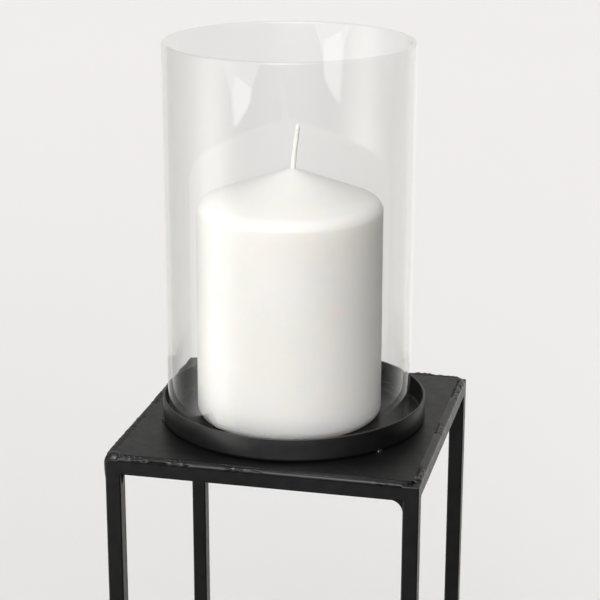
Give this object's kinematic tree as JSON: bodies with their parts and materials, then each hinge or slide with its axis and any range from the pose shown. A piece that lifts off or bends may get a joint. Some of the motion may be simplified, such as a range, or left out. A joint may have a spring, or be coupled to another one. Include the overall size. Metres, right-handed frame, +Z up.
{
  "type": "hurricane candle lantern",
  "caption": "Tall square black metal stand with a shallow round tray, a white pillar candle in the tray and an open clear glass cylinder over the candle.",
  "frame": {"origin": "on the floor under the centre of the stand", "axes": "+Z up; -Y is the front, the side nearest the viewer; +X is to the viewer's right"},
  "size_m": [0.1283, 0.127, 0.4572],
  "materials": {
    "powder_coated_steel": "satin black powder coat",
    "powder_coated_weld": "satin black powder coat over a ground weld",
    "powder_coated_tray": "satin black coat, slightly glossier than the stand",
    "rubber_pad": "matte",
    "clear_glass": "clear, polished",
    "white_wax": "smooth white paraffin wax, satin",
    "cotton_wick": "waxed braided cotton"
  },
  "bodies": {
    "stand": {"leg_front_left": "powder_coated_steel", "leg_front_right": "powder_coated_steel", "leg_back_right": "powder_coated_steel", "leg_back_left": "powder_coated_steel", "top_rail_front": "powder_coated_steel", "top_rail_right": "powder_coated_steel", "top_rail_back": "powder_coated_steel", "top_rail_left": "powder_coated_steel", "base_rail_front": "powder_coated_steel", "base_rail_right": "powder_coated_steel", "base_rail_back": "powder_coated_steel", "base_rail_left": "powder_coated_steel", "top_plate": "powder_coated_steel", "top_corner_welds": "powder_coated_weld", "base_corner_welds": "powder_coated_weld", "corner_cap_weld": "powder_coated_weld", "plate_edge_welds": "powder_coated_weld", "tray_tack_welds": "powder_coated_weld", "candle_tray": "powder_coated_tray", "foot_pad_front_left": "rubber_pad", "foot_pad_front_right": "rubber_pad", "foot_pad_back_right": "rubber_pad", "foot_pad_back_left": "rubber_pad"},
    "glass": {"glass_hurricane": "clear_glass"},
    "candle": {"candle_wax": "white_wax", "candle_wick": "cotton_wick"}
  },
  "joints": [
    {"name": "glass_lift", "type": "slide", "parent": "stand", "child": "glass", "axis": [0, 0, 1], "range_m": [0, 0.135]},
    {"name": "candle_lift", "type": "slide", "parent": "stand", "child": "candle", "axis": [0, 0, 1], "range_m": [0, 0.165]}
  ]
}
